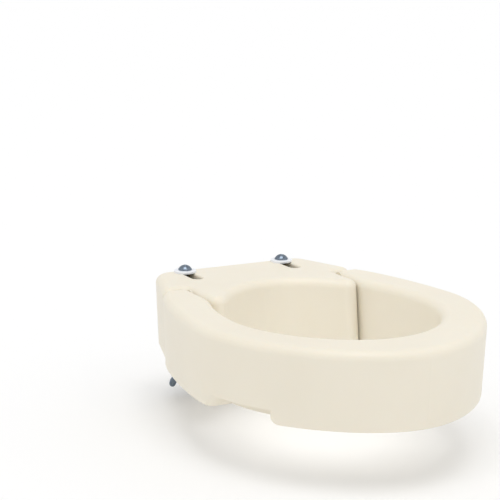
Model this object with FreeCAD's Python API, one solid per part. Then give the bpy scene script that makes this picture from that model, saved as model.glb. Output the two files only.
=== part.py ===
import FreeCAD
import Part
import math
import os

# Hinged raised toilet seat: a hollow polyethylene riser that bolts on a toilet bowl under the user's own seat.
# Millimetres, +Z up, the front of the seat towards -Y. The origin is halfway between the two
# mounting screws, on the plane of the bowl's rim.

# ---- driving dimensions of the whole riser ----
BOLT_SPACING = 139.7          # seat bolt centres of a household bowl
TOTAL_HEIGHT = 88.9           # rim of the bowl to the top of the riser
HALF_WIDTH = 174.0            # ring at its widest, at the top
WIDEST_Y = -240.5             # where the ring is widest
FRONT_REACH = 431.5           # origin to the front tip
REAR_REACH = 17.5             # origin to the rear edge
OPENING_HALF_WIDTH = 123.0    # seat opening at its widest
OPENING_WIDEST_Y = -235.0
OPENING_FRONT_REACH = 369.0   # origin to the front end of the opening
OPENING_REAR_REACH = 86.0     # origin to the rear end of the opening, on the centre line

# ---- split between the rear block and the ring ----
SHOULDER_Y = -72.5            # rear block's cross face, which the ring's arms meet
SHOULDER_HALF_WIDTH = 135.5   # rear block at that face
REAR_HALF_WIDTH = 104.5       # rear block at its rear edge
TONGUE_HALF_WIDTH = 102.0     # tongue that lies between the two arms, at the top
TONGUE_FLARE = 7.0            # how much each side of the tongue leans out from top to bottom
TONGUE_TIP_Y = -136.5         # foremost point of the tongue's rounded tips
ARM_HALF_WIDTH = 137.5        # outside of the arms at the split
SPLIT_GAP = 1.5               # all round, between the tongue, the shoulder and the arms

# ---- moulding ----
WALL = 4.0                    # blow-moulded skin
DRAFT = 3.5                   # how far free walls come in from top to bottom
TOP_ROUND = 10.0              # rounding of the top edges
BOTTOM_ROUND = 1.2            # rounding of the bottom edges
CORNER_ROUND = 9.0            # upright corners at the split
INSIDE_ROUND = 6.5            # upright corners where the tongue leaves the rear block
REAR_CORNER_ROUND = 24.0      # upright corners of the rear edge
TIP_ROUND = 11.5              # upright rounding of the tongue's tips
TIP_SLOPE = 53.0              # degrees: direction of the opening's edge where it reaches a tip
ARM_SLOPE = 53.0              # degrees: direction of the arms' outside where they reach the split

# ---- finger grips in the ring's lower outer edge ----
GRIP_REAR_Y = -257.0
GRIP_FRONT_Y = -337.0
GRIP_HEIGHT = 15.5
GRIP_DEPTH = 28.0
GRIP_RAMP = 15.0              # length of the sloped rear end
GRIP_TOE_ROUND = 9.0          # rounding of that slope's outer edge
GRIP_CORNER = 8.5             # rounding at the foot of the front end

# ---- screw slots in the rear block ----
SLOT_WIDTH = 13.0
SLOT_FRONT_Y = -41.0
SLOT_REAR_Y = 8.0
SLOT_LIP = 3.0                # rounding of the slot's upper edge

# ---- hinge between the ring and the rear block ----
PIN_RADIUS = 4.0
PIN_GRIP = 24.0               # length of pin inside the tongue
PIN_REACH = 20.0              # length of pin inside the arm
PIN_CHAMFER = 0.8
BUSH_WALL = 2.5
BUSH_FLANGE = 2.5
BUSH_FLANGE_THICKNESS = 1.2
BUSH_BACK = 2.0               # closed end of the bush past the pin
PIN_CLEARANCE = 0.05          # radial, pin in bush
PIN_END_CLEARANCE = 0.5

# ---- rubber bumpers under the riser ----
BUMPER_RADIUS = 10.0
BUMPER_STAND = 1.0            # how far they hold the riser off the rim
BUMPER_SEAT = 1.5             # how deep the pad sits in the moulding
BUMPER_STEM_RADIUS = 4.0
BUMPER_STEM_LENGTH = 9.0
RING_BUMPERS = {"front_left": (-64.0, -383.0), "front_right": (64.0, -383.0),
                "side_left": (-141.0, -178.0), "side_right": (141.0, -178.0)}
REAR_BUMPER_X = 104.0
REAR_BUMPER_Y = -33.0

# ---- mounting hardware ----
SCREW_RADIUS = 3.97           # 5/16 inch screw
SCREW_LENGTH = 152.4          # under the head
SCREW_THREAD_LENGTH = 76.2
THREAD_PITCH = 25.4 / 18
THREAD_DEPTH = 0.75
HEAD_RADIUS = 8.7
HEAD_HEIGHT = 6.5
HEAD_RIM = 0.9
RECESS_REACH = 4.6
RECESS_WIDTH = 1.9
RECESS_DEPTH = 3.0
TOP_WASHER_RADIUS = 14.0
TOP_WASHER_THICKNESS = 3.0
WASHER_BORE_CLEARANCE = 0.4
BOWL_LEDGE = 32.0             # thickness of the bowl where the screws pass through
RUBBER_WASHER_RADIUS = 13.0
RUBBER_WASHER_THICKNESS = 5.0
RUBBER_WASHER_NECK = 8.2      # radius of the tapered neck that centres it in the bowl's hole
RUBBER_WASHER_NECK_HEIGHT = 4.0
STEEL_WASHER_RADIUS = 11.5
STEEL_WASHER_THICKNESS = 1.6
NUT_RADIUS = 7.5
NUT_COLLAR_RADIUS = 9.5
NUT_COLLAR_HEIGHT = 2.0
NUT_HEIGHT = 12.0
NUT_CLEARANCE = 0.1
WING_SPAN = 21.0
WING_THICKNESS = 3.4
WING_RISE = 8.0               # how far the wings' tips stand past the nut

Z_UNDER = BUMPER_STAND
Z_TOP = TOTAL_HEIGHT
ARM_REAR_Y = SHOULDER_Y - SPLIT_GAP
# The arms' rear upper edge is round about the hinge pin, so it clears the shoulder as the ring lifts.
HINGE_Y = ARM_REAR_Y - TOP_ROUND
HINGE_Z = Z_TOP - TOP_ROUND
ARM_INNER_X = TONGUE_HALF_WIDTH + SPLIT_GAP
BOLT_X = BOLT_SPACING / 2


def flare_at(z):
    # How far the sides of the tongue, and the arms' faces beside it, have leaned out at height z.
    return TONGUE_FLARE * (Z_TOP - z) / (Z_TOP - Z_UNDER)


# The bush's inner end is flat and starts where no part of its flange stands out of the arm's leaning face.
BUSH_X = ARM_INNER_X + flare_at(HINGE_Z - PIN_RADIUS - PIN_CLEARANCE - BUSH_WALL - BUSH_FLANGE)


def draft_at(z):
    return DRAFT * (Z_TOP - z) / (Z_TOP - Z_UNDER)


def edge_from(points, z):
    # Two points are a line, three an arc through them, four a cubic curve.
    corners = [FreeCAD.Vector(x, y, z) for x, y in points]
    if len(corners) == 2:
        return Part.makeLine(corners[0], corners[1])
    if len(corners) == 3:
        return Part.Arc(corners[0], corners[1], corners[2]).toShape()
    curve = Part.BezierCurve()
    curve.setPoles(corners)
    return curve.toShape()


def mirrored(half):
    # The other half of a closed outline whose right half runs from the centre line back to it.
    return [[(-x, y) for x, y in reversed(points)] for points in reversed(half)]


def loft(outline, z_low, z_high):
    wires = [Part.Wire([edge_from(points, z) for points in outline(z)]) for z in (z_low, z_high)]
    return Part.makeLoft(wires, True, True)


def on_arc(centre, radius, degrees):
    angle = math.radians(degrees)
    return (centre[0] + radius * math.cos(angle), centre[1] + radius * math.sin(angle))


def arc(centre, radius, start, end):
    return [on_arc(centre, radius, start), on_arc(centre, radius, (start + end) / 2),
            on_arc(centre, radius, end)]


def heading(degrees):
    angle = math.radians(degrees)
    return (math.cos(angle), math.sin(angle))


def rounded_corner(before, corner, after, radius):
    # Arc that rounds the corner between two straight runs, as three points.
    to_before = FreeCAD.Vector(before[0] - corner[0], before[1] - corner[1], 0).normalize()
    to_after = FreeCAD.Vector(after[0] - corner[0], after[1] - corner[1], 0).normalize()
    half_angle = to_before.getAngle(to_after) / 2
    reach = radius / math.tan(half_angle)
    middle = (to_before + to_after).normalize()
    inset = radius / math.sin(half_angle) - radius
    origin = FreeCAD.Vector(corner[0], corner[1], 0)
    points = [origin + to_before * reach, origin + middle * inset, origin + to_after * reach]
    return [(point.x, point.y) for point in points]


# ---- plan outlines; wall moves every face inwards, draft only the free ones ----

def ring_front(draft, wall):
    # Right half of the ring's outside, from the front tip back to the arm's rounded corner.
    width = HALF_WIDTH - draft - wall
    tip = FRONT_REACH - draft - wall
    depth = tip + WIDEST_Y
    along = heading(180 - ARM_SLOPE)
    corner = (ARM_HALF_WIDTH - draft - along[1] * CORNER_ROUND, ARM_REAR_Y - CORNER_ROUND)
    arm_end = on_arc(corner, CORNER_ROUND - wall, 90 - ARM_SLOPE)
    pull = 0.27 * (ARM_REAR_Y - WIDEST_Y)
    front = [(0, -tip), (width * 0.47, -tip), (width, WIDEST_Y - depth * 0.48), (width, WIDEST_Y)]
    side = [(width, WIDEST_Y), (width, WIDEST_Y + pull),
            (arm_end[0] - along[0] * pull * 0.66, arm_end[1] - along[1] * pull * 0.66), arm_end]
    return front, side, arc(corner, CORNER_ROUND - wall, 90 - ARM_SLOPE, 90)


def opening_side(draft, flare, wall):
    # Right half of the seat opening, from the arm's rear inner corner to the front of the opening.
    width = OPENING_HALF_WIDTH + draft + wall
    front = OPENING_FRONT_REACH + draft + wall
    depth = front + OPENING_WIDEST_Y
    inner_x = ARM_INNER_X + flare + wall
    straight_end = TONGUE_TIP_Y + TIP_ROUND
    run = straight_end - OPENING_WIDEST_Y
    corner = (ARM_INNER_X + flare + CORNER_ROUND, ARM_REAR_Y - CORNER_ROUND)
    rounding = arc(corner, CORNER_ROUND - wall, 90, 180)
    straight = [(inner_x, corner[1]), (inner_x, straight_end)]
    widening = [(inner_x, straight_end), (inner_x, straight_end - run * 0.22),
                (width, OPENING_WIDEST_Y + run * 0.62), (width, OPENING_WIDEST_Y)]
    nose = [(width, OPENING_WIDEST_Y), (width, OPENING_WIDEST_Y - depth * 0.51),
            (width * 0.51, -front), (0, -front)]
    return rounding, straight, widening, nose


def ring_outline(wall):
    def at(z):
        front, side, outer_corner = ring_front(draft_at(z), wall)
        inner_corner, straight, widening, nose = opening_side(draft_at(z), flare_at(z), wall)
        rear_face = [outer_corner[2], inner_corner[0]]
        half = [front, side, outer_corner, rear_face, inner_corner, straight, widening, nose]
        return half + mirrored(half)
    return at


def outside_outline(inset):
    # The ring's outside alone, closed straight across the arms, for cutting the finger grips.
    def at(z):
        front, side, outer_corner = ring_front(draft_at(z), inset)
        across = [outer_corner[2], (-outer_corner[2][0], outer_corner[2][1])]
        half = [front, side, outer_corner]
        return half + [across] + mirrored(half)
    return at


def block_outline(wall):
    def at(z):
        draft = draft_at(z)
        rear_y = REAR_REACH - draft - wall
        shoulder_y = SHOULDER_Y + wall
        side_x = TONGUE_HALF_WIDTH + flare_at(z) - wall
        spread = (SHOULDER_HALF_WIDTH - REAR_HALF_WIDTH) / (REAR_REACH - SHOULDER_Y)
        slant = math.hypot(1, spread)

        def flank(y):
            return REAR_HALF_WIDTH + spread * (REAR_REACH - y) - (draft + wall) * slant
        rear = (flank(rear_y), rear_y)
        shoulder = (flank(shoulder_y), shoulder_y)
        inside = (side_x, shoulder_y)
        tip_centre = (TONGUE_HALF_WIDTH + flare_at(z) - TIP_ROUND, TONGUE_TIP_Y + TIP_ROUND)
        rear_round = rounded_corner((0, rear_y), rear, shoulder, REAR_CORNER_ROUND - wall)
        shoulder_round = rounded_corner(rear, shoulder, inside, CORNER_ROUND - wall)
        inside_round = rounded_corner(shoulder, inside, (side_x, tip_centre[1]), INSIDE_ROUND + wall)
        tip = arc(tip_centre, TIP_ROUND - wall, 0, -90 - TIP_SLOPE)
        along = heading(-TIP_SLOPE)
        centre = (0, -OPENING_REAR_REACH + draft + wall)
        pull = 0.3 * tip[2][0]
        front = [tip[2], (tip[2][0] - along[0] * pull, tip[2][1] - along[1] * pull),
                 (centre[0] + pull * 1.4, centre[1]), centre]
        half = [[(0, rear_y), rear_round[0]], rear_round, [rear_round[2], shoulder_round[0]], shoulder_round,
                [shoulder_round[2], inside_round[0]], inside_round, [inside_round[2], tip[0]], tip, front]
        return half + mirrored(half)
    return at


# ---- small helpers for solids ----

def tube_along_x(radius, x_from, x_to, y, z):
    length = x_to - x_from
    direction = FreeCAD.Vector(math.copysign(1, length), 0, 0)
    return Part.makeCylinder(radius, abs(length), FreeCAD.Vector(x_from, y, z), direction)


def cylinder(radius, z_low, z_high, x=0.0, y=0.0):
    return Part.makeCylinder(radius, z_high - z_low, FreeCAD.Vector(x, y, z_low))


def flat_edges(shape, z):
    # Edges that lie in the horizontal plane at height z.
    return [edge for edge in shape.Edges
            if abs(edge.BoundBox.ZMin - z) < 1e-4 and abs(edge.BoundBox.ZMax - z) < 1e-4]


def grip_toes(blank):
    # Outer edges of the sloped rear ends of the two finger grips.
    slopes = [edge for edge in blank.Edges
              if abs(edge.BoundBox.ZMin - Z_UNDER) < 1e-3
              and abs(edge.BoundBox.ZMax - Z_UNDER - GRIP_HEIGHT) < 1e-3
              and edge.BoundBox.YMax > GRIP_REAR_Y - GRIP_RAMP / 2]
    outermost = max(abs(edge.BoundBox.Center.x) for edge in slopes)
    return [edge for edge in slopes if abs(edge.BoundBox.Center.x) > outermost - GRIP_DEPTH / 2]


def moulding(outline, z_low, z_high, top_round, bottom_round, grips):
    blank = loft(outline, z_low, z_high)
    if grips:
        blank = blank.cut(grips)
        blank = blank.makeFillet(GRIP_TOE_ROUND, grip_toes(blank))
    blank = blank.makeFillet(top_round, flat_edges(blank, z_high))
    return blank.makeFillet(bottom_round, flat_edges(blank, z_low))


def hollow(outline_for, keep_clear, grips):
    # Skin of even thickness; what crosses the hollow is passed already grown by the wall.
    skin = moulding(outline_for(0), Z_UNDER, Z_TOP, TOP_ROUND, BOTTOM_ROUND, grips)
    room = moulding(outline_for(WALL), Z_UNDER + WALL, Z_TOP - WALL, TOP_ROUND - WALL, BOTTOM_ROUND, [])
    return skin.cut(room.cut(keep_clear))


def mirror_x(shape):
    return shape.mirror(FreeCAD.Vector(0, 0, 0), FreeCAD.Vector(1, 0, 0))


def sides(shape):
    return [shape, mirror_x(shape)]


# ---- features that the mouldings share ----

def slot(grow, z_low, z_high):
    # Fore-and-aft screw slot with round ends, on the right-hand side.
    radius = SLOT_WIDTH / 2 + grow
    rear = SLOT_REAR_Y - SLOT_WIDTH / 2
    front = SLOT_FRONT_Y + SLOT_WIDTH / 2
    body = Part.makeBox(2 * radius, rear - front, z_high - z_low, FreeCAD.Vector(BOLT_X - radius, front, z_low))
    body = body.fuse(cylinder(radius, z_low, z_high, BOLT_X, rear))
    body = body.fuse(cylinder(radius, z_low, z_high, BOLT_X, front))
    return body.removeSplitter()


def grip(grow):
    # Finger grip under the ring's right-hand outer edge: a sloped rear end, a flat roof and a square front end.
    roof = Z_UNDER + GRIP_HEIGHT + grow
    below = Z_UNDER - GRIP_HEIGHT
    front = GRIP_FRONT_Y - grow
    rear = GRIP_REAR_Y + grow
    ramp = GRIP_RAMP
    foot = GRIP_CORNER - grow

    def at(y, z):
        return FreeCAD.Vector(0, y, z)
    turn = math.sqrt(0.5)
    corner = Part.Arc(at(front, Z_UNDER + foot), at(front - foot * (1 - turn), Z_UNDER + foot * (1 - turn)),
                      at(front - foot, Z_UNDER)).toShape()
    runs = [Part.makeLine(at(rear, below), at(rear, Z_UNDER)),
            Part.makeLine(at(rear, Z_UNDER), at(rear - ramp, roof)),
            Part.makeLine(at(rear - ramp, roof), at(front, roof)),
            Part.makeLine(at(front, roof), at(front, Z_UNDER + foot)), corner,
            Part.makeLine(at(front - foot, Z_UNDER), at(front - foot, below)),
            Part.makeLine(at(front - foot, below), at(rear, below))]
    prism = Part.Face(Part.Wire(runs)).extrude(FreeCAD.Vector(HALF_WIDTH * 2, 0, 0))
    core = loft(outside_outline(GRIP_DEPTH + grow), below - 1, roof + 1)
    return prism.cut(core)


def bumper_socket(grow, x, y):
    seat = cylinder(BUMPER_RADIUS + grow, Z_UNDER - 1, Z_UNDER + BUMPER_SEAT + grow, x, y)
    return seat.fuse(cylinder(BUMPER_STEM_RADIUS + grow, Z_UNDER, Z_UNDER + BUMPER_STEM_LENGTH + grow, x, y))


def pin_hole(grow):
    return tube_along_x(PIN_RADIUS + grow, BUSH_X, TONGUE_HALF_WIDTH - PIN_GRIP - grow, HINGE_Y, HINGE_Z)


def bush_body(grow, start=BUSH_X):
    # Outside of the hinge bush on the right, closed at its outer end; its socket starts further in.
    end = BUSH_X + PIN_REACH + PIN_END_CLEARANCE + BUSH_BACK
    radius = PIN_RADIUS + PIN_CLEARANCE + BUSH_WALL
    barrel = tube_along_x(radius + grow, start, end + grow, HINGE_Y, HINGE_Z)
    flange = tube_along_x(radius + BUSH_FLANGE + grow, start,
                          BUSH_X + BUSH_FLANGE_THICKNESS + grow, HINGE_Y, HINGE_Z)
    return barrel.fuse(flange).removeSplitter()


def bush_socket(grow):
    return bush_body(grow, ARM_INNER_X - WALL)


# ---- the pieces ----

def rear_block():
    sockets = sides(bumper_socket(0, REAR_BUMPER_X, REAR_BUMPER_Y))
    grown = sides(bumper_socket(WALL, REAR_BUMPER_X, REAR_BUMPER_Y))
    grown += sides(slot(WALL, Z_UNDER - 1, Z_TOP + 1)) + sides(pin_hole(WALL))
    block = hollow(block_outline, grown, [])
    block = block.cut(sides(slot(0, Z_UNDER - 1, Z_TOP + 1)) + sides(pin_hole(0)) + sockets)
    lips = [edge for edge in flat_edges(block, Z_TOP)
            if edge.BoundBox.YMin > SLOT_FRONT_Y - 1 and edge.BoundBox.YMax < SLOT_REAR_Y + 1
            and abs(abs(edge.BoundBox.Center.x) - BOLT_X) < SLOT_WIDTH]
    return block.makeFillet(SLOT_LIP, lips)


def seat_ring():
    spots = RING_BUMPERS.values()
    grown = sides(grip(WALL)) + sides(bush_socket(WALL)) + [bumper_socket(WALL, x, y) for x, y in spots]
    ring = hollow(ring_outline, grown, sides(grip(0)))
    return ring.cut(sides(bush_socket(0)) + [bumper_socket(0, x, y) for x, y in spots])


def hinge_pin():
    pin = tube_along_x(PIN_RADIUS, TONGUE_HALF_WIDTH - PIN_GRIP, BUSH_X + PIN_REACH, HINGE_Y, HINGE_Z)
    ends = [edge for edge in pin.Edges if abs(edge.BoundBox.XLength) < 1e-6]
    return pin.makeChamfer(PIN_CHAMFER, ends)


def hinge_bush():
    bore_end = BUSH_X + PIN_REACH + PIN_END_CLEARANCE
    return bush_body(0).cut(tube_along_x(PIN_RADIUS + PIN_CLEARANCE, BUSH_X - 1, bore_end, HINGE_Y, HINGE_Z))


def bumper(x, y):
    pad = cylinder(BUMPER_RADIUS, 0, Z_UNDER + BUMPER_SEAT, x, y)
    pad = pad.makeFillet(BUMPER_STAND / 2, flat_edges(pad, 0))
    return pad.fuse(cylinder(BUMPER_STEM_RADIUS, BUMPER_SEAT, Z_UNDER + BUMPER_STEM_LENGTH, x, y)).removeSplitter()


def mounting_screw():
    # Truss-head machine screw with a cross recess; its lower half is threaded.
    seat = Z_TOP + TOP_WASHER_THICKNESS
    tip = seat - SCREW_LENGTH
    dome_rise = HEAD_HEIGHT - HEAD_RIM
    dome_radius = (HEAD_RADIUS ** 2 + dome_rise ** 2) / (2 * dome_rise)
    dome = Part.makeSphere(dome_radius, FreeCAD.Vector(BOLT_X, 0, seat + HEAD_HEIGHT - dome_radius))
    head = dome.common(cylinder(HEAD_RADIUS, seat, seat + HEAD_HEIGHT, BOLT_X))
    recess_floor = seat + HEAD_HEIGHT - RECESS_DEPTH
    for turn in (0, 90):
        arm = recess_arm(recess_floor, seat + HEAD_HEIGHT)
        arm.rotate(FreeCAD.Vector(BOLT_X, 0, 0), FreeCAD.Vector(0, 0, 1), turn)
        head = head.cut(arm)
    thread_top = tip + SCREW_THREAD_LENGTH
    plain = cylinder(SCREW_RADIUS, thread_top, seat, BOLT_X)
    return head.fuse([plain, threaded_shank(tip, thread_top)]).removeSplitter()


def recess_arm(z_low, z_high):
    # One blade of the cross recess, which narrows towards its floor.
    def section(z, reach, width):
        return Part.makePolygon([FreeCAD.Vector(BOLT_X + sx * reach, sy * width / 2, z)
                                 for sx, sy in ((-1, -1), (1, -1), (1, 1), (-1, 1), (-1, -1))])
    return Part.makeLoft([section(z_low, RECESS_REACH * 0.4, RECESS_WIDTH * 0.7),
                          section(z_high, RECESS_REACH, RECESS_WIDTH)], True, True)


def threaded_shank(z_low, z_high):
    # The thread is a stack of equal ridges at the thread's pitch: the same profile without the helix.
    core = SCREW_RADIUS - THREAD_DEPTH
    count = int((z_high - z_low) / THREAD_PITCH)
    outline = [FreeCAD.Vector(0, 0, z_low), FreeCAD.Vector(core, 0, z_low)]
    start = z_high - count * THREAD_PITCH
    for index in range(count):
        foot = start + index * THREAD_PITCH
        outline += [FreeCAD.Vector(core, 0, foot), FreeCAD.Vector(SCREW_RADIUS, 0, foot + THREAD_PITCH * 0.44),
                    FreeCAD.Vector(SCREW_RADIUS, 0, foot + THREAD_PITCH * 0.56)]
    outline += [FreeCAD.Vector(core, 0, z_high), FreeCAD.Vector(0, 0, z_high)]
    tidy = [point for index, point in enumerate(outline)
            if index == 0 or point.distanceToPoint(outline[index - 1]) > 1e-6]
    profile = Part.Face(Part.makePolygon(tidy + [tidy[0]]))
    shank = profile.revolve(FreeCAD.Vector(0, 0, 0), FreeCAD.Vector(0, 0, 1), 360)
    shank.translate(FreeCAD.Vector(BOLT_X, 0, 0))
    return shank


def top_washer():
    washer = cylinder(TOP_WASHER_RADIUS, Z_TOP, Z_TOP + TOP_WASHER_THICKNESS, BOLT_X)
    washer = washer.makeFillet(TOP_WASHER_THICKNESS * 0.4, flat_edges(washer, Z_TOP + TOP_WASHER_THICKNESS))
    return washer.cut(cylinder(SCREW_RADIUS + WASHER_BORE_CLEARANCE, Z_TOP - 1, Z_TOP + 9, BOLT_X))


def rubber_washer():
    # Tapered washer whose neck centres the screw in the bowl's hole, under the ledge.
    flange = cylinder(RUBBER_WASHER_RADIUS, -BOWL_LEDGE - RUBBER_WASHER_THICKNESS, -BOWL_LEDGE, BOLT_X)
    flange = flange.makeFillet(1.0, flange.Edges)
    neck = Part.makeCone(RUBBER_WASHER_NECK, SCREW_RADIUS + 1.5, RUBBER_WASHER_NECK_HEIGHT,
                         FreeCAD.Vector(BOLT_X, 0, -BOWL_LEDGE))
    bore = cylinder(SCREW_RADIUS + WASHER_BORE_CLEARANCE, -BOWL_LEDGE - RUBBER_WASHER_THICKNESS - 1, 0, BOLT_X)
    return flange.fuse(neck).cut(bore).removeSplitter()


def steel_washer():
    top = -BOWL_LEDGE - RUBBER_WASHER_THICKNESS
    washer = cylinder(STEEL_WASHER_RADIUS, top - STEEL_WASHER_THICKNESS, top, BOLT_X)
    washer = washer.makeFillet(STEEL_WASHER_THICKNESS * 0.25, washer.Edges)
    return washer.cut(cylinder(SCREW_RADIUS + WASHER_BORE_CLEARANCE, top - 9, top + 1, BOLT_X))


def wing_nut():
    top = -BOWL_LEDGE - RUBBER_WASHER_THICKNESS - STEEL_WASHER_THICKNESS
    bottom = top - NUT_HEIGHT
    collar = cylinder(NUT_COLLAR_RADIUS, top - NUT_COLLAR_HEIGHT, top, BOLT_X)
    hub = Part.makeCone(NUT_RADIUS * 0.8, NUT_RADIUS, NUT_HEIGHT, FreeCAD.Vector(BOLT_X, 0, bottom))
    nut = collar.fuse(hub)
    for side in (-1, 1):
        nut = nut.fuse(wing(side, top - NUT_COLLAR_HEIGHT, bottom))
    bore = cylinder(SCREW_RADIUS + NUT_CLEARANCE, bottom - WING_RISE - 1, top + 1, BOLT_X)
    return nut.cut(bore).removeSplitter()


def wing(side, z_root, z_hub_end):
    # Flat rounded ear that leans out and down from the hub.
    inner = BOLT_X + side * NUT_RADIUS * 0.55
    outer = BOLT_X + side * WING_SPAN
    tip = z_hub_end - WING_RISE
    middle = z_hub_end + (z_root - z_hub_end) * 0.45
    ear = Part.BezierCurve()
    ear.setPoles([FreeCAD.Vector(inner, 0, z_root), FreeCAD.Vector(outer + side * 2, 0, z_root - 1),
                  FreeCAD.Vector(outer + side * 5, 0, tip - 1), FreeCAD.Vector(outer - side * 4, 0, tip)])
    under = Part.BezierCurve()
    under.setPoles([FreeCAD.Vector(outer - side * 4, 0, tip), FreeCAD.Vector(outer - side * 9, 0, tip),
                    FreeCAD.Vector(outer - side * 8, 0, middle), FreeCAD.Vector(inner, 0, z_hub_end + 1)])
    close = Part.makeLine(FreeCAD.Vector(inner, 0, z_hub_end + 1), FreeCAD.Vector(inner, 0, z_root))
    face = Part.Face(Part.Wire([ear.toShape(), under.toShape(), close]))
    blade = face.extrude(FreeCAD.Vector(0, WING_THICKNESS, 0))
    blade.translate(FreeCAD.Vector(0, -WING_THICKNESS / 2, 0))
    return blade.makeFillet(WING_THICKNESS * 0.3, [edge for edge in blade.Edges
                                                   if edge.BoundBox.YLength < 1e-6 and edge.BoundBox.XLength > 1])


os.makedirs("parts", exist_ok=True)


def save(name, shape):
    solid = shape if shape.ShapeType == "Solid" else shape.Solids[0]
    solid.exportStep("parts/" + name + ".step")


def save_pair(name, right_hand):
    save(name + "_right", right_hand)
    save(name + "_left", mirror_x(right_hand))


save("rear_block", rear_block())
save("seat_ring", seat_ring())
save_pair("hinge_pin", hinge_pin())
save_pair("hinge_bush", hinge_bush())
for place, (pad_x, pad_y) in RING_BUMPERS.items():
    save("ring_bumper_" + place, bumper(pad_x, pad_y))
save_pair("rear_bumper", bumper(REAR_BUMPER_X, REAR_BUMPER_Y))
save_pair("mounting_screw", mounting_screw())
save_pair("top_washer", top_washer())
save_pair("rubber_washer", rubber_washer())
save_pair("steel_washer", steel_washer())
save_pair("wing_nut", wing_nut())
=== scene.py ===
import math

import bpy
from mathutils import Matrix, Vector


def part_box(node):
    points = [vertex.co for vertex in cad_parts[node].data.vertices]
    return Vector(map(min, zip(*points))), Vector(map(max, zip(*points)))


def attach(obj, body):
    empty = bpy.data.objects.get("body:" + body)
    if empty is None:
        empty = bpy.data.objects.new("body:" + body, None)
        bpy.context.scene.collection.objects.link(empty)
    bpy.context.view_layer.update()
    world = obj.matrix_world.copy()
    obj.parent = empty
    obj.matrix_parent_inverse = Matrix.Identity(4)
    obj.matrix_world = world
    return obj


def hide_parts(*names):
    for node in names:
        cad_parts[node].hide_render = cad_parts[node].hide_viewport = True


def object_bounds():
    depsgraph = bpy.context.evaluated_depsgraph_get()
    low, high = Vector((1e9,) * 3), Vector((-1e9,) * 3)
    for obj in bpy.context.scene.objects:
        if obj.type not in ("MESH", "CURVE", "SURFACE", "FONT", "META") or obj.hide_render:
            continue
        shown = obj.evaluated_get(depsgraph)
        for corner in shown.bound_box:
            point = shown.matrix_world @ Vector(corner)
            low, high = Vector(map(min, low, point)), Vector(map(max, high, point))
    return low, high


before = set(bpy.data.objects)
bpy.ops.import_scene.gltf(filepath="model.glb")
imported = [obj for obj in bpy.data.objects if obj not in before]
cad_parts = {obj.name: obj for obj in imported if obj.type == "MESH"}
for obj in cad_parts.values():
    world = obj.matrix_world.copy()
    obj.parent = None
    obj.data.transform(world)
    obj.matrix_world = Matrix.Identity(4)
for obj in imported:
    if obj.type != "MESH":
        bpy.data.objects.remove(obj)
cad_low, cad_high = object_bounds()

# ---- rear block -------------------------------------------------------------------------------
# The fixed half of the riser: a hollow blow moulding in ivory polyethylene that the two long
# screws clamp to the back of the bowl. Its tongue carries the hinge pins and closes the opening.

IVORY_DEEP = (0.798, 0.742, 0.622)
IVORY_PALE = (0.826, 0.771, 0.652)
TONE_CLOUDS = 7.0             # patterns are given as repeats in a metre, heights in metres
HANDLING_MARKS = 38.0
WALL_WAVES = 11.0
WAVE_HEIGHT = 0.0012
MOULD_GRAIN = 1500.0
GRAIN_HEIGHT = 0.00004


class Finish:
    """A node material whose steps are added one after another."""

    def __init__(self, name):
        self.material = bpy.data.materials.new(name)
        self.material.use_nodes = True
        self.nodes = self.material.node_tree.nodes
        self.links = self.material.node_tree.links
        self.shader = self.nodes["Principled BSDF"]
        self.place = self.nodes.new("ShaderNodeTexCoord").outputs["Object"]
        self.normal = None

    def stretched(self, scale):
        mapping = self.nodes.new("ShaderNodeMapping")
        mapping.vector_type = "TEXTURE"
        mapping.inputs["Scale"].default_value = scale
        self.links.new(self.place, mapping.inputs["Vector"])
        return mapping.outputs["Vector"]

    def noise(self, scale, detail=2.0, roughness=0.5, place=None):
        node = self.nodes.new("ShaderNodeTexNoise")
        node.inputs["Scale"].default_value = scale
        node.inputs["Detail"].default_value = detail
        node.inputs["Roughness"].default_value = roughness
        self.links.new(place or self.place, node.inputs["Vector"])
        return node.outputs["Fac"]

    def spread(self, value, low, high, from_low=0.3, from_high=0.7):
        node = self.nodes.new("ShaderNodeMapRange")
        node.inputs["From Min"].default_value = from_low
        node.inputs["From Max"].default_value = from_high
        node.inputs["To Min"].default_value = low
        node.inputs["To Max"].default_value = high
        self.links.new(value, node.inputs["Value"])
        return node.outputs["Result"]

    def colour(self, value, first, second, from_low=0.3, from_high=0.7):
        node = self.nodes.new("ShaderNodeValToRGB")
        node.color_ramp.elements[0].position = from_low
        node.color_ramp.elements[0].color = (*first, 1.0)
        node.color_ramp.elements[1].position = from_high
        node.color_ramp.elements[1].color = (*second, 1.0)
        self.links.new(value, node.inputs["Fac"])
        return node.outputs["Color"]

    def raised(self, value, height, strength=1.0):
        bump = self.nodes.new("ShaderNodeBump")
        bump.inputs["Strength"].default_value = strength
        bump.inputs["Distance"].default_value = height
        self.links.new(value, bump.inputs["Height"])
        if self.normal is not None:
            self.links.new(self.normal, bump.inputs["Normal"])
        self.normal = bump.outputs["Normal"]
        self.links.new(self.normal, self.shader.inputs["Normal"])

    def drive(self, value, socket):
        self.links.new(value, self.shader.inputs[socket])

    def fixed(self, **values):
        for socket, value in values.items():
            self.shader.inputs[socket.replace("_", " ")].default_value = value


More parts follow.
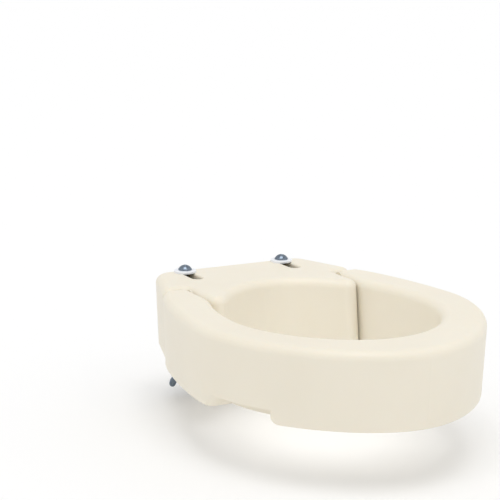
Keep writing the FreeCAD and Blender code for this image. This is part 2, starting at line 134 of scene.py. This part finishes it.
def polyethylene():
    # Satin skin off a fine-blasted mould: slow clouds of tone, a slightly wavy wall, a faint grain.
    finish = Finish("ivory_polyethylene")
    clouds = finish.noise(TONE_CLOUDS, detail=3.0)
    finish.drive(finish.colour(clouds, IVORY_DEEP, IVORY_PALE), "Base Color")
    handled = finish.noise(HANDLING_MARKS, detail=4.0, roughness=0.6)
    finish.drive(finish.spread(handled, 0.40, 0.48), "Roughness")
    finish.raised(finish.noise(WALL_WAVES, detail=1.0), WAVE_HEIGHT, strength=0.12)
    finish.raised(finish.noise(MOULD_GRAIN, detail=2.0), GRAIN_HEIGHT, strength=0.25)
    finish.fixed(IOR=1.5, Subsurface_Weight=0.12, Subsurface_Radius=(1.0, 0.75, 0.5),
                 Subsurface_Scale=0.004)
    return finish.material


def dress(material, *nodes):
    for node in nodes:
        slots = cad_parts[node].material_slots
        for slot in slots:
            slot.material = material


ivory = polyethylene()
dress(ivory, "rear_block")

# ---- seat ring --------------------------------------------------------------------------------
# The part that lifts: one hollow blow moulding in the same ivory polyethylene, with two rear arms
# beside the tongue and a finger grip under each side.

dress(ivory, "seat_ring")

# ---- hinge pins and bushes --------------------------------------------------------------------
# Two ground stainless pins pressed into the tongue turn in closed bushes set in the arms, moulded
# in the same ivory plastic.

PIN_GREY = (0.52, 0.52, 0.53)
PIN_PALE = (0.62, 0.62, 0.63)
GRINDING_RINGS = 420.0
RING_STRETCH = (0.02, 1.0, 1.0)
RING_HEIGHT = 0.00002


def ground_steel():
    finish = Finish("ground_stainless")
    rings = finish.noise(GRINDING_RINGS, detail=3.0, place=finish.stretched(RING_STRETCH))
    finish.drive(finish.colour(rings, PIN_GREY, PIN_PALE), "Base Color")
    finish.drive(finish.spread(rings, 0.22, 0.36), "Roughness")
    finish.raised(rings, RING_HEIGHT, strength=0.2)
    finish.fixed(Metallic=1.0)
    return finish.material


dress(ground_steel(), "hinge_pin_left", "hinge_pin_right")
dress(ivory, "hinge_bush_left", "hinge_bush_right")

# ---- rubber bumpers ---------------------------------------------------------------------------
# Six grey rubber pads with stems pushed into sockets in the two undersides. They stand the riser
# 1 mm off the rim, which shows as the thin dark line all round.

RUBBER_DARK = (0.33, 0.325, 0.31)
RUBBER_PALE = (0.40, 0.395, 0.375)
RUBBER_BLOOM = 160.0
RUBBER_SHEEN = 500.0
RUBBER_GRAIN = 1300.0
RUBBER_GRAIN_HEIGHT = 0.00006


def moulded_rubber(name, dark, pale):
    finish = Finish(name)
    finish.drive(finish.colour(finish.noise(RUBBER_BLOOM, detail=4.0), dark, pale), "Base Color")
    finish.drive(finish.spread(finish.noise(RUBBER_SHEEN), 0.66, 0.82), "Roughness")
    finish.raised(finish.noise(RUBBER_GRAIN, detail=3.0), RUBBER_GRAIN_HEIGHT, strength=0.4)
    finish.fixed(IOR=1.5)
    return finish.material


dress(moulded_rubber("grey_rubber", RUBBER_DARK, RUBBER_PALE),
      "ring_bumper_front_left", "ring_bumper_front_right", "ring_bumper_side_left",
      "ring_bumper_side_right", "rear_bumper_left", "rear_bumper_right")

# ---- mounting screws --------------------------------------------------------------------------
# 5/16 inch truss-head machine screws in bright zinc, which drop through the slots, the bowl and
# the clamping washers. The lower half carries an 18-per-inch thread that runs out into plain shank.

# Both zinc base colours are a painted dark reflection: far darker than bright zinc, they stand in for dark
# surroundings mirrored in the metal, and the bloom noise mixes the two.
ZINC_PAINTED_REFLECTION_DARK = (0.13, 0.165, 0.215)
ZINC_PAINTED_REFLECTION_LIGHT = (0.26, 0.31, 0.37)
PLATING_BLOOM = 240.0
PLATING_SHEEN = 700.0
PLATING_GRAIN = 1100.0
PLATING_GRAIN_HEIGHT = 0.00002
SHANK_RADIUS = 0.00395
HEAD_HEIGHT = 0.0065
HEAD_RIM = 0.0009
THREAD_LENGTH = 0.0762
THREAD_PITCH = 0.0254 / 18
THREAD_DEPTH = 0.00075
THREAD_RUNOUT = 0.0022
TIP_RADIUS = 0.0026
ROWS_PER_TURN = 8
THREAD_SIDES = 40
RIDGE_FOOT = 0.12              # the flank runs between these shares of a half turn
RIDGE_CREST = 0.88
HEAD_ROWS = 26
HEAD_SIDES = 64
HEAD_INSET = 0.00001           # keeps the head just inside its size
WELD = 0.000002                # closes the seams and poles
RECESS_REACH = 0.0046
RECESS_WIDTH = 0.0011
RECESS_DEPTH = 0.0030
RECESS_TAPER = 0.45
RECESS_OVERSHOOT = 0.0008      # how far the cutter stands out of the crown
CUT_SCALE = 1000.0            # the recess is cut enlarged, so that no edge is too short


def zinc_painted_reflection():
    finish = Finish("zinc_painted_reflection")
    bloom = finish.noise(PLATING_BLOOM, detail=4.0, roughness=0.65)
    # Base colour: painted dark reflection, mixed by the bloom noise; the lamps add the real highlights.
    finish.drive(finish.colour(bloom, ZINC_PAINTED_REFLECTION_DARK, ZINC_PAINTED_REFLECTION_LIGHT), "Base Color")
    finish.drive(finish.spread(finish.noise(PLATING_SHEEN, detail=3.0), 0.12, 0.24), "Roughness")
    finish.raised(finish.noise(PLATING_GRAIN, detail=2.0), PLATING_GRAIN_HEIGHT, strength=0.2)
    finish.fixed(Metallic=1.0)
    return finish.material


zinc = zinc_painted_reflection()


class ShapeTree:
    """A geometry node tree; numbers and sockets are both taken as operands."""

    def __init__(self, name, inputs):
        self.tree = bpy.data.node_groups.new(name, "GeometryNodeTree")
        self.sockets = {}
        for label, kind in inputs.items():
            self.sockets[label] = self.tree.interface.new_socket(label, in_out="INPUT", socket_type=kind)
        self.tree.interface.new_socket("Geometry", in_out="OUTPUT", socket_type="NodeSocketGeometry")
        self.given = self.tree.nodes.new("NodeGroupInput")

    def put(self, value, socket):
        if isinstance(value, bpy.types.NodeSocket):
            self.tree.links.new(value, socket)
        else:
            socket.default_value = value

    def input(self, label):
        return self.given.outputs[label]

    def math(self, operation, *operands):
        node = self.tree.nodes.new("ShaderNodeMath")
        node.operation = operation
        for operand, socket in zip(operands, node.inputs):
            self.put(operand, socket)
        return node.outputs["Value"]

    def node(self, kind, **inputs):
        node = self.tree.nodes.new(kind)
        for label, value in inputs.items():
            self.put(value, node.inputs[label.replace("_", " ")])
        return node

    def ease(self, value, start, end):
        node = self.node("ShaderNodeMapRange", Value=value, From_Min=start, From_Max=end)
        node.interpolation_type = "SMOOTHSTEP"
        return node.outputs["Result"]

    def turned(self, rows, sides, height_and_radius, place):
        # A closed surface round the upright axis; its first and last rows shut on the axis.
        count = self.math("ADD", rows, -1.0)
        grid = self.node("GeometryNodeMeshGrid", Size_X=1.0, Size_Y=count, Vertices_X=sides, Vertices_Y=rows)
        split = self.node("ShaderNodeSeparateXYZ", Vector=self.node("GeometryNodeInputPosition").outputs[0])
        angle = self.math("MULTIPLY_ADD", split.outputs["X"], 2 * math.pi, math.pi)
        row = self.math("MULTIPLY_ADD", count, 0.5, split.outputs["Y"])
        height, radius = height_and_radius(row, count, angle)
        inside = self.math("MULTIPLY", self.math("GREATER_THAN", row, 0.5),
                           self.math("LESS_THAN", row, self.math("SUBTRACT", count, 0.5)))
        radius = self.math("MULTIPLY", radius, inside)
        point = self.node("ShaderNodeCombineXYZ", X=self.math("MULTIPLY", radius, self.math("COSINE", angle)),
                          Y=self.math("MULTIPLY", radius, self.math("SINE", angle)), Z=height)
        moved = self.node("ShaderNodeVectorMath")
        moved.operation = "ADD"
        self.put(point.outputs[0], moved.inputs[0])
        self.put(place, moved.inputs[1])
        shaped = self.node("GeometryNodeSetPosition", Geometry=grid.outputs["Mesh"], Position=moved.outputs[0])
        closed = self.node("GeometryNodeMergeByDistance", Geometry=shaped.outputs[0], Distance=WELD)
        return closed.outputs[0]

    def finish(self, parts, material):
        joined = self.tree.nodes.new("GeometryNodeJoinGeometry")
        for part in parts:
            self.tree.links.new(part, joined.inputs[0])
        real = self.node("GeometryNodeRealizeInstances", Geometry=joined.outputs[0])
        smooth = self.node("GeometryNodeSetShadeSmooth", Geometry=real.outputs[0])
        coated = self.node("GeometryNodeSetMaterial", Geometry=smooth.outputs[0], Material=material)
        end = self.tree.nodes.new("NodeGroupOutput")
        self.tree.links.new(coated.outputs[0], end.inputs[0])


def screw_tree():
    shape = ShapeTree("machine_screw", {
        "Seat": "NodeSocketVector", "Length": "NodeSocketFloat", "Head Radius": "NodeSocketFloat",
        "Thread Length": "NodeSocketFloat", "Pitch": "NodeSocketFloat", "Rows": "NodeSocketInt",
        "Sides": "NodeSocketInt", "Material": "NodeSocketMaterial"})
    seat, length = shape.input("Seat"), shape.input("Length")

    def shank(row, count, angle):
        # Height above the tip grows with the row; the ridge follows the height and the angle together.
        share = shape.math("DIVIDE", shape.math("ADD", row, -1.0), shape.math("ADD", count, -2.0))
        held = shape.math("MINIMUM", shape.math("MAXIMUM", share, 0.0), 1.0)
        rise = shape.math("MULTIPLY", held, shape.math("ADD", length, HEAD_RIM))
        turns = shape.math("SUBTRACT", shape.math("DIVIDE", rise, shape.input("Pitch")),
                           shape.math("DIVIDE", angle, 2 * math.pi))
        phase = shape.math("ABSOLUTE", shape.math("MULTIPLY_ADD", shape.math("FRACT", turns), 2.0, -1.0))
        ridge = shape.ease(phase, RIDGE_FOOT, RIDGE_CREST)
        threaded = shape.math("MULTIPLY_ADD", ridge, THREAD_DEPTH, SHANK_RADIUS - THREAD_DEPTH)
        start = shape.math("SUBTRACT", shape.input("Thread Length"), THREAD_RUNOUT)
        plain = shape.ease(rise, start, shape.input("Thread Length"))
        radius = shape.math("MULTIPLY_ADD", shape.math("SUBTRACT", SHANK_RADIUS, threaded), plain, threaded)
        radius = shape.math("MINIMUM", radius, shape.math("ADD", rise, TIP_RADIUS))
        return shape.math("SUBTRACT", rise, length), radius

    def head(row, count, angle):
        # The underside, the rim, then the dome up to its crown.
        radius = shape.input("Head Radius")
        crown = HEAD_HEIGHT - HEAD_RIM
        square = shape.math("MULTIPLY", radius, radius)
        ball = shape.math("DIVIDE", shape.math("ADD", square, crown ** 2), 2 * crown)
        widest = shape.math("ARCSINE", shape.math("DIVIDE", radius, ball))
        share = shape.math("DIVIDE", shape.math("ADD", row, -2.0), shape.math("ADD", count, -2.0))
        dome = shape.math("GREATER_THAN", share, -0.001)
        tilt = shape.math("MULTIPLY", widest, shape.math("SUBTRACT", 1.0, shape.math("MAXIMUM", share, 0.0)))
        drop = shape.math("MULTIPLY", ball, shape.math("SUBTRACT", 1.0, shape.math("COSINE", tilt)))
        height = shape.math("MULTIPLY", shape.math("SUBTRACT", HEAD_HEIGHT, drop), dome)
        return height, shape.math("MULTIPLY", ball, shape.math("SINE", tilt))

    shaft = shape.turned(shape.input("Rows"), shape.input("Sides"), shank, seat)
    cap = shape.turned(HEAD_ROWS, HEAD_SIDES + 1, head, (0.0, 0.0, 0.0))
    enlarged = shape.node("GeometryNodeTransform", Geometry=cap, Scale=(CUT_SCALE,) * 3).outputs[0]
    floor = HEAD_HEIGHT - RECESS_DEPTH
    for turn in (0.0, math.pi / 2):
        blade = shape.node("GeometryNodeMeshCone", Vertices=4, Radius_Top=1.0, Radius_Bottom=RECESS_TAPER,
                           Depth=RECESS_DEPTH + RECESS_OVERSHOOT)
        squared = shape.node("GeometryNodeTransform", Geometry=blade.outputs["Mesh"],
                             Rotation=(0.0, 0.0, math.pi / 4))
        flat = shape.node("GeometryNodeTransform", Geometry=squared.outputs[0],
                          Translation=(0.0, 0.0, floor),
                          Scale=(RECESS_REACH * math.sqrt(2), RECESS_WIDTH * math.sqrt(2), 1.0))
        cutter = shape.node("GeometryNodeTransform", Geometry=flat.outputs[0],
                            Rotation=(0.0, 0.0, turn), Scale=(CUT_SCALE,) * 3)
        cut = shape.tree.nodes.new("GeometryNodeMeshBoolean")
        cut.operation = "DIFFERENCE"
        cut.solver = "EXACT"
        shape.tree.links.new(enlarged, cut.inputs["Mesh 1"])
        shape.tree.links.new(cutter.outputs[0], cut.inputs["Mesh 2"])
        enlarged = cut.outputs["Mesh"]
    placed = shape.node("GeometryNodeTransform", Geometry=enlarged, Translation=seat,
                        Scale=(1 / CUT_SCALE,) * 3)
    shape.finish([shaft, placed.outputs[0]], shape.input("Material"))
    return shape


def grow(name, shape, **values):
    # The tree is evaluated once and its result kept as a plain mesh.
    start = bpy.data.objects.new(name + "_start", bpy.data.meshes.new(name + "_start"))
    bpy.context.scene.collection.objects.link(start)
    modifier = start.modifiers.new("shape", "NODES")
    modifier.node_group = shape.tree
    for label, value in values.items():
        modifier[shape.sockets[label.replace("_", " ")].identifier] = value
    bpy.context.view_layer.update()
    settled = start.evaluated_get(bpy.context.evaluated_depsgraph_get())
    mesh = bpy.data.meshes.new_from_object(settled)
    start.modifiers.remove(modifier)
    bpy.data.objects.remove(start)
    piece = bpy.data.objects.new(name, mesh)
    bpy.context.scene.collection.objects.link(piece)
    return piece


machine_screw = screw_tree()
for side in ("left", "right"):
    low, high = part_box("mounting_screw_" + side)
    seat_height = high[2] - HEAD_HEIGHT
    screw_length = seat_height - low[2]
    screw = grow("screw_" + side + "_shape", machine_screw,
                 Seat=((low[0] + high[0]) / 2, (low[1] + high[1]) / 2, seat_height), Length=screw_length,
                 Head_Radius=(high[0] - low[0]) / 2 - HEAD_INSET, Thread_Length=THREAD_LENGTH,
                 Pitch=THREAD_PITCH, Rows=int(screw_length / THREAD_PITCH * ROWS_PER_TURN),
                 Sides=THREAD_SIDES + 1, Material=zinc)
    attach(screw, "screw_" + side)
    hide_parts("mounting_screw_" + side)

# ---- top washers ------------------------------------------------------------------------------
# Large white nylon washers that spread each head's load over its slot.

NYLON_COOL = (0.80, 0.82, 0.86)
NYLON_WARM = (0.84, 0.855, 0.88)
NYLON_TONE = 90.0
NYLON_SHEEN = 260.0
NYLON_GRAIN = 900.0
NYLON_GRAIN_HEIGHT = 0.00003


def nylon():
    finish = Finish("white_nylon")
    finish.drive(finish.colour(finish.noise(NYLON_TONE, detail=3.0), NYLON_COOL, NYLON_WARM), "Base Color")
    finish.drive(finish.spread(finish.noise(NYLON_SHEEN), 0.36, 0.46), "Roughness")
    finish.raised(finish.noise(NYLON_GRAIN, detail=2.0), NYLON_GRAIN_HEIGHT, strength=0.2)
    finish.fixed(IOR=1.53, Subsurface_Weight=0.15, Subsurface_Radius=(1.0, 1.0, 1.0),
                 Subsurface_Scale=0.0015)
    return finish.material


white_nylon = nylon()
dress(white_nylon, "top_washer_left", "top_washer_right")

# ---- clamping washers and wing nuts -----------------------------------------------------------
# Under the bowl: a tapered black rubber washer, a flat steel one, and a cast zinc wing nut.

BLACK_DEEP = (0.018, 0.018, 0.019)
BLACK_WORN = (0.040, 0.040, 0.041)

dress(moulded_rubber("black_rubber", BLACK_DEEP, BLACK_WORN), "rubber_washer_left", "rubber_washer_right")
# The steel washers and wing nuts get the same zinc finish, with its painted dark reflection.
dress(zinc, "steel_washer_left", "steel_washer_right", "wing_nut_left", "wing_nut_right")

# ---- floor and light --------------------------------------------------------------------------
# A plain pale floor far enough under the hardware for the nuts to run down, lit by a white
# surround, a high soft sun, a weak one from the right, two narrow ones that put a glint on the
# screw heads, and a small round lamp inside the seat opening.

FLOOR_REACH = 40.0
FLOOR_GREY = (0.90, 0.90, 0.90)
SURROUND_STRENGTH = 0.83


def pale_floor(height):
    mesh = bpy.data.meshes.new("floor")
    corners = [(-FLOOR_REACH, -FLOOR_REACH), (FLOOR_REACH, -FLOOR_REACH),
               (FLOOR_REACH, FLOOR_REACH), (-FLOOR_REACH, FLOOR_REACH)]
    mesh.from_pydata([(x, y, height) for x, y in corners], [], [(0, 1, 2, 3)])
    floor = bpy.data.objects.new("floor", mesh)
    bpy.context.scene.collection.objects.link(floor)
    finish = Finish("pale_floor")
    finish.fixed(Base_Color=(*FLOOR_GREY, 1.0), Roughness=0.8, Specular_IOR_Level=0.2)
    mesh.materials.append(finish.material)


NUT_TRAVEL = 0.0105           # the nuts run down this far, with a little to spare

pale_floor(cad_low.z - NUT_TRAVEL)


def soft_sun(name, azimuth, elevation, spread, power):
    data = bpy.data.lights.new(name, "SUN")
    data.angle = math.radians(spread)
    data.energy = power
    lamp = bpy.data.objects.new(name, data)
    turn, rise = math.radians(azimuth), math.radians(elevation)
    out = Vector((math.sin(turn) * math.cos(rise), -math.cos(turn) * math.cos(rise), math.sin(rise)))
    lamp.rotation_mode = "QUATERNION"
    lamp.rotation_quaternion = (-out).to_track_quat("-Z", "Y")
    bpy.context.scene.collection.objects.link(lamp)


soft_sun("key", azimuth=42.0, elevation=42.0, spread=50.0, power=0.06)
soft_sun("overhead", azimuth=-30.0, elevation=74.0, spread=40.0, power=0.86)
soft_sun("glint_left", azimuth=-78.0, elevation=48.0, spread=3.0, power=0.04)
soft_sun("glint_front", azimuth=8.0, elevation=40.0, spread=3.0, power=0.04)


def inner_lamp(place, radius, power):
    # A weak round lamp inside the seat opening, which lifts the shade of its walls.
    data = bpy.data.lights.new("inner", "POINT")
    data.shadow_soft_size = radius
    data.energy = power
    lamp = bpy.data.objects.new("inner", data)
    lamp.location = place
    bpy.context.scene.collection.objects.link(lamp)


inner_lamp(place=(-0.01, -0.235, 0.045), radius=0.04, power=0.075)

world = bpy.data.worlds.new("surround")
bpy.context.scene.world = world
world.use_nodes = True
world.node_tree.nodes["Background"].inputs["Color"].default_value = (1.0, 1.0, 1.0, 1.0)
world.node_tree.nodes["Background"].inputs["Strength"].default_value = SURROUND_STRENGTH

bpy.context.scene.view_settings.view_transform = "Standard"
bpy.context.scene.view_settings.look = "None"

# ---- camera -----------------------------------------------------------------------------------
# Standing height in front and to the left of the bowl, with a long lens.

CAMERA_PLACE = (-0.8972, -1.6513, 0.5159)
CAMERA_TURN = 29.135
CAMERA_DIP = 12.170
CAMERA_ROLL = 0.571
CAMERA_LENS = 108.557


def add_camera():
    data = bpy.data.cameras.new("camera")
    data.sensor_width = 36.0
    data.lens = CAMERA_LENS
    camera = bpy.data.objects.new("camera", data)
    turn, dip = math.radians(CAMERA_TURN), math.radians(CAMERA_DIP)
    ahead = Vector((math.sin(turn) * math.cos(dip), math.cos(turn) * math.cos(dip), -math.sin(dip)))
    level = ahead.cross(Vector((0.0, 0.0, 1.0))).normalized()
    axes = Matrix((level, level.cross(ahead), -ahead)).transposed()
    camera.rotation_mode = "QUATERNION"
    camera.rotation_quaternion = (axes @ Matrix.Rotation(math.radians(CAMERA_ROLL), 3, "Z")).to_quaternion()
    camera.location = CAMERA_PLACE
    data.clip_start = 0.05
    data.clip_end = 50.0
    bpy.context.scene.collection.objects.link(camera)
    bpy.context.scene.camera = camera


add_camera()
